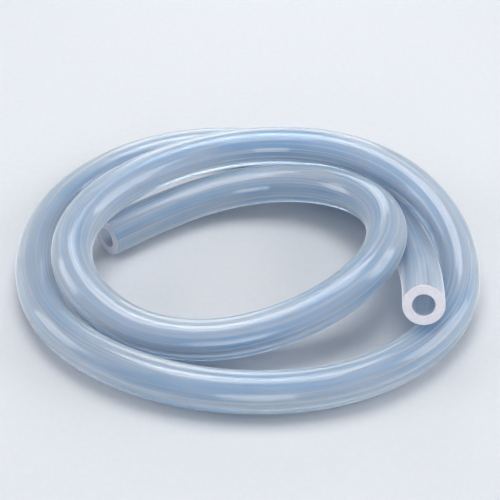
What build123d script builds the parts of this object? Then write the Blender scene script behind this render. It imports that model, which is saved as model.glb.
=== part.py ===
# A loose coil of thick-walled silicone tubing, one extruded piece with both ends cut square.
# It lies on a flat surface (Z = 0) in about two and a half uneven turns that climb over one
# another. +Z is up, and X and Y lie in the surface. Millimetres.
from build123d import *
import math
import os

# Driving dimensions
OUTER_DIAMETER = 15.0
BORE_DIAMETER = 8.0
RUN_SHARE = 0.45  # how much of the shorter run beside a corner its arc takes up

# Route of the centreline of a tube ROUTE_DIAMETER across, from the low end inside the coil to
# the raised end. Each stretch is named for how it lies. Turns that touch stay a little over a
# diameter apart, and a thicker or thinner tube lies in a coil that much larger or smaller.
ROUTE_DIAMETER = 15.0
ROUTE = [
    # low end, lying on the surface
    (-53.5, 11.5, 7.5),
    (-33.0, 28.5, 7.5),
    (-7.0, 40.0, 9.5),
    # climbs over the raised end's shoulder on the right and comes down again
    (17.5, 40.0, 13.0),
    (39.0, 30.0, 17.0),
    (51.5, 11.5, 21.0),
    (52.5, -10.5, 23.0),
    (41.0, -30.5, 20.5),
    (17.0, -44.5, 14.0),
    (-12.0, -49.5, 9.0),
    # climbs onto the outer turn's inner shoulder on the left
    (-39.5, -44.5, 9.5),
    (-58.5, -29.5, 15.0),
    (-65.5, -11.0, 20.0),
    (-59.0, 10.5, 23.0),
    (-40.0, 32.0, 23.0),
    (-15.0, 48.5, 21.5),
    # crosses over the outer turn at the back and comes down outside it
    (12.5, 53.5, 21.5),
    (38.0, 46.5, 23.5),
    (59.5, 31.0, 23.5),
    (74.5, 11.5, 18.5),
    (80.0, -10.0, 11.5),
    # outer turn, flat on the surface round the front, the left and the back
    (75.5, -32.0, 7.5),
    (61.0, -52.5, 7.5),
    (38.0, -67.5, 7.5),
    (9.0, -73.5, 7.5),
    (-22.0, -70.0, 7.5),
    (-49.5, -57.5, 7.5),
    (-69.5, -38.0, 7.5),
    (-79.0, -12.5, 7.5),
    (-79.0, 14.5, 7.5),
    (-70.0, 39.0, 7.5),
    (-52.0, 59.0, 7.5),
    (-27.5, 71.0, 7.5),
    (-0.5, 73.0, 7.5),
    (24.5, 66.0, 7.5),
    # passes under the crossing turn and rises along the outer turn's inner side
    (44.0, 51.5, 7.5),
    (56.0, 33.0, 7.5),
    (61.5, 12.0, 7.5),
    (63.5, -8.5, 12.0),
    (63.5, -28.5, 18.5),
    (61.5, -47.5, 25.0),
]


def corner_turns(points):
    """Returns the angle, in degrees, that the route turns by at each inner point."""
    runs = [end - start for start, end in zip(points, points[1:])]
    return [before.get_angle(after) for before, after in zip(runs, runs[1:])]


def corner_radii(points):
    """Returns the arc radius at each inner point, as large as its two runs allow."""
    lengths = [(end - start).length for start, end in zip(points, points[1:])]
    radii = []
    for before, after, turn in zip(lengths, lengths[1:], corner_turns(points)):
        radii.append(RUN_SHARE * min(before, after) / math.tan(math.radians(turn / 2)))
    return radii


def tube_along(path):
    """Sweeps the tube's ring section along the path, with its seam along the top."""
    section = Plane(origin=path @ 0, x_dir=(0, 0, 1), z_dir=path % 0)
    ring = section * (Circle(OUTER_DIAMETER / 2) - Circle(BORE_DIAMETER / 2))
    return sweep(ring, path=path)


coil_scale = OUTER_DIAMETER / ROUTE_DIAMETER
points = [Vector(*point) * coil_scale for point in ROUTE]
radii = corner_radii(points)
path = FilletPolyline(*points, radius=radii)
tubing = tube_along(path)

section_area = math.pi / 4 * (OUTER_DIAMETER**2 - BORE_DIAMETER**2)
print("arc radii in diameters:", [round(radius / OUTER_DIAMETER, 1) for radius in radii])
print("tube length:", round(path.length, 1))
print("volume over section times length:", round(tubing.volume / (section_area * path.length), 5))

os.makedirs("parts", exist_ok=True)
export_step(tubing, "parts/tubing.step")
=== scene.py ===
# A loose coil of thick-walled, translucent silicone tubing, cut square at both ends.
# Everything is in metres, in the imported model's frame: Z = 0 is the surface it lies on.
import math

import bpy
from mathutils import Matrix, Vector


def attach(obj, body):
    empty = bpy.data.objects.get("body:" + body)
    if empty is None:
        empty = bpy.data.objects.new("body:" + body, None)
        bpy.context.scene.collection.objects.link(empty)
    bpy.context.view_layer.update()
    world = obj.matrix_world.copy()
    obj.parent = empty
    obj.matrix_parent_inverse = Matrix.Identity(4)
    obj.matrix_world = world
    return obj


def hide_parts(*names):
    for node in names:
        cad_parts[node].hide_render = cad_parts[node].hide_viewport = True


# Sizes of the tube
OUTER_DIAMETER = 0.015
WALL_THICKNESS = 0.0035
LIP_RADIUS = 0.00025  # how far a clean knife cut leaves its edges rounded
CUT_DEPTH = 0.0001  # faces this near an end belong to its cut

# The finished tube's mesh
RING_STEPS = 48
LENGTH_STEPS = 760
FACE_STEPS = 4
LIP_STEPS = 3
ROUTE_RESOLUTION = 24
MERGE_DISTANCE = 1e-6

# Finish: widths and lengths of the patterns drawn out along the tube, and marks per metre
SILICONE_IOR = 1.41
DIE_LINE = (0.0009, 0.14)
MILKINESS = (0.012, 0.045)
BORE_LINE = (0.001, 0.10)
KNIFE_MARKS = 700.0
FLOOR_GRAIN = 400.0

# Route of the tube's centreline, from the low end inside the coil to the raised end
ROUTE = [
    # low end, lying on the surface
    (-0.0535, 0.0115, 0.0075),
    (-0.0330, 0.0285, 0.0075),
    (-0.0070, 0.0400, 0.0095),
    # climbs over the raised end's shoulder on the right and comes down again
    (0.0175, 0.0400, 0.0130),
    (0.0390, 0.0300, 0.0170),
    (0.0515, 0.0115, 0.0210),
    (0.0525, -0.0105, 0.0230),
    (0.0410, -0.0305, 0.0205),
    (0.0170, -0.0445, 0.0140),
    (-0.0120, -0.0495, 0.0090),
    # climbs onto the outer turn's inner shoulder on the left
    (-0.0395, -0.0445, 0.0095),
    (-0.0585, -0.0295, 0.0150),
    (-0.0655, -0.0110, 0.0200),
    (-0.0590, 0.0105, 0.0230),
    (-0.0400, 0.0320, 0.0230),
    (-0.0150, 0.0485, 0.0215),
    # crosses over the outer turn at the back and comes down outside it
    (0.0125, 0.0535, 0.0215),
    (0.0380, 0.0465, 0.0235),
    (0.0595, 0.0310, 0.0235),
    (0.0745, 0.0115, 0.0185),
    (0.0800, -0.0100, 0.0115),
    # outer turn, flat on the surface round the front, the left and the back
    (0.0755, -0.0320, 0.0075),
    (0.0610, -0.0525, 0.0075),
    (0.0380, -0.0675, 0.0075),
    (0.0090, -0.0735, 0.0075),
    (-0.0220, -0.0700, 0.0075),
    (-0.0495, -0.0575, 0.0075),
    (-0.0695, -0.0380, 0.0075),
    (-0.0790, -0.0125, 0.0075),
    (-0.0790, 0.0145, 0.0075),
    (-0.0700, 0.0390, 0.0075),
    (-0.0520, 0.0590, 0.0075),
    (-0.0275, 0.0710, 0.0075),
    (-0.0005, 0.0730, 0.0075),
    (0.0245, 0.0660, 0.0075),
    # passes under the crossing turn and rises along the outer turn's inner side
    (0.0440, 0.0515, 0.0075),
    (0.0560, 0.0330, 0.0075),
    (0.0615, 0.0120, 0.0075),
    (0.0635, -0.0085, 0.0120),
    (0.0635, -0.0285, 0.0185),
    (0.0615, -0.0475, 0.0250),
]

# Camera: where it looks, from how high and how far
VIEW_TARGET = Vector((0.0015, 0.013, 0.0))
VIEW_ELEVATION = math.radians(39.4)
VIEW_DISTANCE = 0.5805
VIEW_LENS = 108.0
SENSOR_WIDTH = 36.0

# Soft boxes, which all point at the coil: name, place, side and power in watts
SOFT_BOXES = (
    ("overhead_soft_box", (0.0, 0.14, 0.75), 0.5, 3.6),
    ("left_soft_box", (-0.9, 0.0, 0.4), 0.5, 3.0),
    ("right_soft_box", (0.9, 0.0, 0.45), 0.6, 4.4),
    ("front_soft_box", (0.0, -1.0, 0.25), 0.5, 3.2),
    ("back_soft_box", (0.0, 1.0, 0.35), 0.5, 2.2),
)
ROOM_BRIGHTNESS = 0.4
FLOOR_SIDE = 6.0


def linear(hex_colour):
    """Turns an sRGB hex colour into linear RGBA."""
    channels = [int(hex_colour[i : i + 2], 16) / 255 for i in (1, 3, 5)]
    return [c / 12.92 if c <= 0.04045 else ((c + 0.055) / 1.055) ** 2.4 for c in channels] + [1.0]


def node(tree, kind, inputs=None, **settings):
    """Adds a node, sets its properties, and links or fills its inputs by name or number."""
    made = tree.nodes.new(kind)
    for name, value in settings.items():
        setattr(made, name, value)
    for key, value in (inputs or {}).items():
        if isinstance(value, bpy.types.NodeSocket):
            tree.links.new(value, made.inputs[key])
        else:
            made.inputs[key].default_value = value
    return made


# Materials


def new_material(name):
    """Makes a node material and returns it with its tree and its surface shader."""
    material = bpy.data.materials.new(name)
    material.use_nodes = True
    return material, material.node_tree, material.node_tree.nodes["Principled BSDF"]


def drawn_streaks(tree, width, length):
    """Noise drawn out along the tube: its streaks are about this wide and this long, in metres."""
    straight = node(tree, "ShaderNodeAttribute", attribute_name="straight").outputs["Vector"]
    drawn = node(
        tree, "ShaderNodeMapping", {"Vector": straight, "Scale": (1 / length, 1 / width, 1 / width)}
    ).outputs["Vector"]
    return node(
        tree, "ShaderNodeTexNoise", {"Vector": drawn, "Scale": 1.0, "Detail": 2.0}
    ).outputs["Fac"]


def extruded_silicone():
    """Platinum-cured silicone, drawn from a die: glossy, milky, and clear enough to show its bore.

    The die leaves long, fine, paler lines, and the milkiness drifts a little along the tube.
    The finest lines are drawn about 0.9 mm apart, coarser than the real ones, so that they show.
    """
    material, tree, shader = new_material("extruded_silicone")
    lines = drawn_streaks(tree, *DIE_LINE)
    drift = drawn_streaks(tree, *MILKINESS)
    milkiness = node(
        tree, "ShaderNodeMapRange", {"Value": drift, "From Min": 0.35, "From Max": 0.65}
    ).outputs["Result"]
    wall = node(
        tree,
        "ShaderNodeMix",
        {"Factor": milkiness, "A": linear("#B7D6F3"), "B": linear("#DBECFB")},
        data_type="RGBA",
    ).outputs["Result"]
    paler = node(
        tree,
        "ShaderNodeMapRange",
        {"Value": lines, "From Min": 0.5, "From Max": 0.62, "To Max": 0.75},
    ).outputs["Result"]
    colour = node(
        tree, "ShaderNodeMix", {"Factor": paler, "A": wall, "B": linear("#FAFDFF")}, data_type="RGBA"
    ).outputs["Result"]
    gloss = node(
        tree,
        "ShaderNodeMapRange",
        {"Value": lines, "From Min": 0.3, "From Max": 0.7, "To Min": 0.05, "To Max": 0.14},
    ).outputs["Result"]
    relief = node(
        tree, "ShaderNodeBump", {"Height": lines, "Strength": 0.3, "Distance": 0.0001}
    ).outputs["Normal"]
    tree.links.new(colour, shader.inputs["Base Color"])
    tree.links.new(gloss, shader.inputs["Roughness"])
    tree.links.new(relief, shader.inputs["Normal"])
    shader.inputs["IOR"].default_value = SILICONE_IOR
    shader.inputs["Transmission Weight"].default_value = 0.62
    shader.inputs["Subsurface Weight"].default_value = 1.0
    shader.inputs["Subsurface Radius"].default_value = (1.0, 0.88, 0.75)
    shader.inputs["Subsurface Scale"].default_value = 0.01
    shader.inputs["Sheen Weight"].default_value = 1.0
    shader.inputs["Sheen Roughness"].default_value = 0.3
    shader.inputs["Sheen Tint"].default_value = linear("#F2F6FC")
    shader.inputs["Coat Weight"].default_value = 0.25
    shader.inputs["Coat Roughness"].default_value = 0.15
    return material


def bore_silicone():
    """The bore's wall: smooth rubber, with its colour split into a pale painted-light copy and a
    darker painted-shade copy.

    Where the bore's own air shows it, it is painted near-white, a painted light for the inside of
    the mouth. Seen through the milky wall it is painted darker and bluer, a painted shade for light
    that crosses the rubber twice; part of that blue is the rubber's own tint.
    """
    material, tree, shader = new_material("bore_silicone")
    lines = drawn_streaks(tree, *BORE_LINE)
    ramp = node(
        tree, "ShaderNodeMapRange", {"Value": lines, "From Min": 0.35, "From Max": 0.65}
    ).outputs["Result"]
    # painted shade: the rubber's own blue tint, darkened into the shade of the band seen through the
    # wall, in two tones that drift along the tube
    bore_tint_and_painted_shade = node(
        tree,
        "ShaderNodeMix",
        {"Factor": ramp, "A": linear("#145FB0"), "B": linear("#458ED2")},
        data_type="RGBA",
    ).outputs["Result"]
    # lit and shaded copies: the front face, seen from the bore's own air, gets a near-white painted
    # light; the back face, seen through the wall, gets the darker painted shade
    through_wall = node(tree, "ShaderNodeNewGeometry").outputs["Backfacing"]
    colour = node(
        tree,
        "ShaderNodeMix",
        {"Factor": through_wall, "A": linear("#F8FCFF"), "B": bore_tint_and_painted_shade},
        data_type="RGBA",
    ).outputs["Result"]
    tree.links.new(colour, shader.inputs["Base Color"])
    shader.inputs["Roughness"].default_value = 0.3
    shader.inputs["IOR"].default_value = SILICONE_IOR
    shader.inputs["Transmission Weight"].default_value = 0.7
    return material


def cut_silicone():
    """A knife-cut face: matte and whiter than the drawn skin, with faint drag lines."""
    material, tree, shader = new_material("cut_silicone")
    place = node(tree, "ShaderNodeTexCoord").outputs["Object"]
    drag = node(
        tree, "ShaderNodeTexNoise", {"Vector": place, "Scale": KNIFE_MARKS, "Detail": 4.0}
    ).outputs["Fac"]
    ramp = node(
        tree, "ShaderNodeMapRange", {"Value": drag, "From Min": 0.3, "From Max": 0.7}
    ).outputs["Result"]
    colour = node(
        tree,
        "ShaderNodeMix",
        {"Factor": ramp, "A": linear("#D9D7E0"), "B": linear("#E8E5EC")},
        data_type="RGBA",
    ).outputs["Result"]
    relief = node(
        tree, "ShaderNodeBump", {"Height": drag, "Strength": 0.3, "Distance": 0.00008}
    ).outputs["Normal"]
    tree.links.new(colour, shader.inputs["Base Color"])
    tree.links.new(relief, shader.inputs["Normal"])
    shader.inputs["Roughness"].default_value = 0.55
    shader.inputs["IOR"].default_value = SILICONE_IOR
    return material


# The tube


def route_curve():
    """The tube's centreline as one smooth open curve."""
    data = bpy.data.curves.new("tube_route", "CURVE")
    data.dimensions = "3D"
    spline = data.splines.new("NURBS")
    spline.points.add(len(ROUTE) - 1)
    for point, place in zip(spline.points, ROUTE):
        point.co = (*place, 1.0)
    spline.order_u = 3
    spline.use_endpoint_u = True
    data.resolution_u = ROUTE_RESOLUTION
    route = bpy.data.objects.new("tube_route", data)
    bpy.context.scene.collection.objects.link(route)
    return route


def plain_mesh(source, name):
    """Returns the evaluated object as a new plain mesh."""
    graph = bpy.context.evaluated_depsgraph_get()
    mesh = bpy.data.meshes.new_from_object(source.evaluated_get(graph), depsgraph=graph)
    mesh.name = name
    return mesh


def wall_outline(tree, given, length):
    """The wall's outline from the side: a long strip along X with rounded corners.

    Its height above the X axis is the distance from the tube's centreline.
    """
    wall = given["Wall Thickness"]
    strip = node(
        tree, "GeometryNodeCurvePrimitiveQuadrilateral", {"Width": length, "Height": wall}
    ).outputs[0]
    across = node(
        tree, "ShaderNodeMath", {0: given["Outer Diameter"], 1: wall}, operation="SUBTRACT"
    ).outputs[0]
    centre = node(tree, "ShaderNodeCombineXYZ", {"X": length, "Y": across}).outputs[0]
    offset = node(
        tree, "ShaderNodeVectorMath", {0: centre, "Scale": 0.5}, operation="SCALE"
    ).outputs[0]
    strip = node(
        tree, "GeometryNodeTransform", {"Geometry": strip, "Translation": offset}
    ).outputs[0]
    index = node(tree, "GeometryNodeInputIndex").outputs[0]
    is_end = node(tree, "ShaderNodeMath", {0: index, 1: 2.0}, operation="MODULO").outputs[0]
    cuts = node(
        tree,
        "ShaderNodeMapRange",
        {"Value": is_end, "To Min": given["Length Steps"], "To Max": given["Face Steps"]},
    ).outputs[0]
    strip = node(tree, "GeometryNodeSubdivideCurve", {"Curve": strip, "Cuts": cuts}).outputs[0]
    return node(
        tree,
        "GeometryNodeFilletCurve",
        {"Curve": strip, "Radius": given["Lip Radius"], "Count": LIP_STEPS, "Limit Radius": True},
        mode="POLY",
    ).outputs[0]


def straight_tube(tree, given, outline):
    """Spins the wall's outline about the X axis into a closed straight tube.

    The grid it starts from has a row for each point of the outline, and its Y is the angle.
    """
    points = node(
        tree, "GeometryNodeAttributeDomainSize", {"Geometry": outline}, component="CURVE"
    ).outputs["Point Count"]
    rows = node(tree, "ShaderNodeMath", {0: points, 1: 1.0}, operation="ADD").outputs[0]
    columns = node(
        tree, "ShaderNodeMath", {0: given["Ring Steps"], 1: 1.0}, operation="ADD"
    ).outputs[0]
    grid = node(
        tree,
        "GeometryNodeMeshGrid",
        {"Size X": points, "Size Y": 2 * math.pi, "Vertices X": rows, "Vertices Y": columns},
    ).outputs["Mesh"]
    place = node(tree, "GeometryNodeInputPosition").outputs[0]
    step, angle, _ = node(tree, "ShaderNodeSeparateXYZ", {0: place}).outputs
    row = node(
        tree, "ShaderNodeMath", {0: points, 1: 0.5, 2: step}, operation="MULTIPLY_ADD"
    ).outputs[0]
    row = node(tree, "ShaderNodeMath", {0: row}, operation="ROUND").outputs[0]
    row = node(tree, "ShaderNodeMath", {0: row, 1: points}, operation="MODULO").outputs[0]
    side = node(
        tree,
        "GeometryNodeSampleIndex",
        {"Geometry": outline, "Value": place, "Index": row},
        data_type="FLOAT_VECTOR",
    ).outputs[0]
    spun = node(
        tree, "ShaderNodeVectorRotate", {"Vector": side, "Angle": angle}, rotation_type="X_AXIS"
    ).outputs[0]
    tube = node(tree, "GeometryNodeSetPosition", {"Geometry": grid, "Position": spun}).outputs[0]
    return node(
        tree, "GeometryNodeMergeByDistance", {"Geometry": tube, "Distance": MERGE_DISTANCE}
    ).outputs[0]


def bent_along(tree, tube, route):
    """Bends the straight tube along the route, keeping each section square to it."""
    place = node(tree, "GeometryNodeInputPosition").outputs[0]
    along, y, z = node(tree, "ShaderNodeSeparateXYZ", {0: place}).outputs
    on_route = node(
        tree,
        "GeometryNodeSampleCurve",
        {"Curves": route, "Length": along},
        mode="LENGTH",
        use_all_curves=True,
    ).outputs
    side = node(
        tree, "ShaderNodeVectorMath", {0: on_route["Normal"]}, operation="NORMALIZE"
    ).outputs[0]
    up = node(
        tree, "ShaderNodeVectorMath", {0: on_route["Tangent"], 1: side}, operation="CROSS_PRODUCT"
    ).outputs[0]
    up = node(tree, "ShaderNodeVectorMath", {0: up}, operation="NORMALIZE").outputs[0]
    spot = node(
        tree,
        "ShaderNodeVectorMath",
        {0: side, 1: y, 2: on_route["Position"]},
        operation="MULTIPLY_ADD",
    ).outputs[0]
    spot = node(
        tree, "ShaderNodeVectorMath", {0: up, 1: z, 2: spot}, operation="MULTIPLY_ADD"
    ).outputs[0]
    return node(
        tree, "GeometryNodeSetPosition", {"Geometry": tube, "Position": spot}
    ).outputs[0]


def finished(tree, given, tube, length):
    """Gives the skin, the bore and the two cut faces their materials, by where each face was.

    Where it was on the straight tube is kept on it, for the patterns that follow the tube.
    """
    was = node(
        tree, "GeometryNodeInputNamedAttribute", {"Name": "straight"}, data_type="FLOAT_VECTOR"
    ).outputs[0]
    along, y, z = node(tree, "ShaderNodeSeparateXYZ", {0: was}).outputs
    offset = node(tree, "ShaderNodeCombineXYZ", {"Y": y, "Z": z}).outputs[0]
    radius = node(
        tree, "ShaderNodeVectorMath", {0: offset}, operation="LENGTH"
    ).outputs["Value"]
    middle = node(
        tree,
        "ShaderNodeMath",
        {0: given["Outer Diameter"], 1: given["Wall Thickness"]},
        operation="SUBTRACT",
    ).outputs[0]
    middle = node(tree, "ShaderNodeMath", {0: middle, 1: 0.5}, operation="MULTIPLY").outputs[0]
    in_bore = node(
        tree, "ShaderNodeMath", {0: radius, 1: middle}, operation="LESS_THAN"
    ).outputs[0]
    halfway = node(tree, "ShaderNodeMath", {0: length, 1: 0.5}, operation="MULTIPLY").outputs[0]
    uncut = node(
        tree, "ShaderNodeMath", {0: halfway, 1: CUT_DEPTH}, operation="SUBTRACT"
    ).outputs[0]
    offset_along = node(
        tree, "ShaderNodeMath", {0: along, 1: halfway}, operation="SUBTRACT"
    ).outputs[0]
    from_middle = node(
        tree, "ShaderNodeMath", {0: offset_along}, operation="ABSOLUTE"
    ).outputs[0]
    is_cut = node(
        tree, "ShaderNodeMath", {0: from_middle, 1: uncut}, operation="GREATER_THAN"
    ).outputs[0]
    smooth = node(tree, "GeometryNodeSetShadeSmooth", {"Geometry": tube}).outputs[0]
    made = node(tree, "GeometryNodeRealizeInstances", {"Geometry": smooth}).outputs[0]
    for name, chosen in (("Drawn Skin", True), ("Bore Wall", in_bore), ("Cut Face", is_cut)):
        made = node(
            tree,
            "GeometryNodeSetMaterial",
            {"Geometry": made, "Material": given[name], "Selection": chosen},
        ).outputs[0]
    return made


def tube_tree():
    """Node group that makes a thick-walled tube, cut square at both ends, along a route."""
    tree = bpy.data.node_groups.new("thick_walled_tube", "GeometryNodeTree")
    for name, kind in (
        ("Route", "NodeSocketObject"),
        ("Outer Diameter", "NodeSocketFloat"),
        ("Wall Thickness", "NodeSocketFloat"),
        ("Lip Radius", "NodeSocketFloat"),
        ("Length Steps", "NodeSocketInt"),
        ("Ring Steps", "NodeSocketInt"),
        ("Face Steps", "NodeSocketInt"),
        ("Drawn Skin", "NodeSocketMaterial"),
        ("Bore Wall", "NodeSocketMaterial"),
        ("Cut Face", "NodeSocketMaterial"),
    ):
        tree.interface.new_socket(name, in_out="INPUT", socket_type=kind)
    tree.interface.new_socket("Tube", in_out="OUTPUT", socket_type="NodeSocketGeometry")
    given = node(tree, "NodeGroupInput").outputs

    route = node(tree, "GeometryNodeObjectInfo", {"Object": given["Route"]}).outputs["Geometry"]
    length = node(tree, "GeometryNodeCurveLength", {"Curve": route}).outputs[0]
    tube = straight_tube(tree, given, wall_outline(tree, given, length))
    place = node(tree, "GeometryNodeInputPosition").outputs[0]
    tube = node(
        tree,
        "GeometryNodeStoreNamedAttribute",
        {"Geometry": tube, "Name": "straight", "Value": place},
        data_type="FLOAT_VECTOR",
        domain="POINT",
    ).outputs[0]
    tube = finished(tree, given, bent_along(tree, tube, route), length)
    node(tree, "NodeGroupOutput", {"Tube": tube})
    return tree


def make_tubing():
    """The whole tube as one closed mesh, and the points of its centreline."""
    route = route_curve()
    centreline = [vertex.co.copy() for vertex in plain_mesh(route, "centreline").vertices]
    host = bpy.data.objects.new("tube_host", bpy.data.meshes.new("tube_host"))
    bpy.context.scene.collection.objects.link(host)
    modifier = host.modifiers.new("tube", "NODES")
    modifier.node_group = tube_tree()
    sizes = {
        "Route": route,
        "Outer Diameter": OUTER_DIAMETER,
        "Wall Thickness": WALL_THICKNESS,
        "Lip Radius": LIP_RADIUS,
        "Length Steps": LENGTH_STEPS,
        "Ring Steps": RING_STEPS,
        "Face Steps": FACE_STEPS,
        "Drawn Skin": extruded_silicone(),
        "Bore Wall": bore_silicone(),
        "Cut Face": cut_silicone(),
    }
    for item in modifier.node_group.interface.items_tree:
        if item.in_out == "INPUT":
            modifier[item.identifier] = sizes[item.name]
    tubing = bpy.data.objects.new("silicone_tubing", plain_mesh(host, "silicone_tubing"))
    bpy.context.scene.collection.objects.link(tubing)
    bpy.data.objects.remove(host)
    bpy.data.objects.remove(route)
    return tubing, centreline


# The studio


def pale_floor():
    """A plain, pale, matte table top."""
    material, tree, shader = new_material("matte_laminate")
    place = node(tree, "ShaderNodeTexCoord").outputs["Object"]
    grain = node(tree, "ShaderNodeTexNoise", {"Vector": place, "Scale": FLOOR_GRAIN}).outputs[0]
    colour = node(
        tree,
        "ShaderNodeMix",
        {"Factor": grain, "A": linear("#CDD0D4"), "B": linear("#D3D6DA")},
        data_type="RGBA",
    ).outputs["Result"]
    tree.links.new(colour, shader.inputs["Base Color"])
    shader.inputs["Roughness"].default_value = 0.6
    bpy.ops.mesh.primitive_plane_add(size=FLOOR_SIDE)
    floor = bpy.context.object
    floor.name = "floor"
    floor.data.materials.append(material)


def soft_light():
    """A large soft box overhead, weaker ones low down all round, and a pale room."""
    for name, place, side, power in SOFT_BOXES:
        data = bpy.data.lights.new(name, "AREA")
        data.size = side
        data.energy = power
        box = bpy.data.objects.new(name, data)
        box.location = place
        box.rotation_euler = (-Vector(place)).to_track_quat("-Z", "Y").to_euler()
        bpy.context.scene.collection.objects.link(box)
    world = bpy.data.worlds.new("pale_room")
    world.use_nodes = True
    background = world.node_tree.nodes["Background"]
    background.inputs["Color"].default_value = linear("#E4E8EE")
    background.inputs["Strength"].default_value = ROOM_BRIGHTNESS
    bpy.context.scene.world = world


def add_camera():
    """Looks down at the coil from the front."""
    data = bpy.data.cameras.new("camera")
    data.lens = VIEW_LENS
    data.sensor_width = SENSOR_WIDTH
    camera = bpy.data.objects.new("camera", data)
    back = Vector((0, -math.cos(VIEW_ELEVATION), math.sin(VIEW_ELEVATION)))
    camera.location = VIEW_TARGET + back * VIEW_DISTANCE
    camera.rotation_euler = (math.pi / 2 - VIEW_ELEVATION, 0, 0)
    bpy.context.scene.collection.objects.link(camera)
    bpy.context.scene.camera = camera


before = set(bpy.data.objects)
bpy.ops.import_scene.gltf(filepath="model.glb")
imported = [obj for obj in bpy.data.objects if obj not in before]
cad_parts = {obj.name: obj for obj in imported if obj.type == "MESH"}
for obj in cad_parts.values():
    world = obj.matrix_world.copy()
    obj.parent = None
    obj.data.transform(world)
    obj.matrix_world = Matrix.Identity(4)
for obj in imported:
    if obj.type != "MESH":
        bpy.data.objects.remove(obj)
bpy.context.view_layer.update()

tubing, centreline = make_tubing()
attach(tubing, "root")
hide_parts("tubing")

pale_floor()
soft_light()
add_camera()
bpy.context.scene.view_settings.view_transform = "Standard"
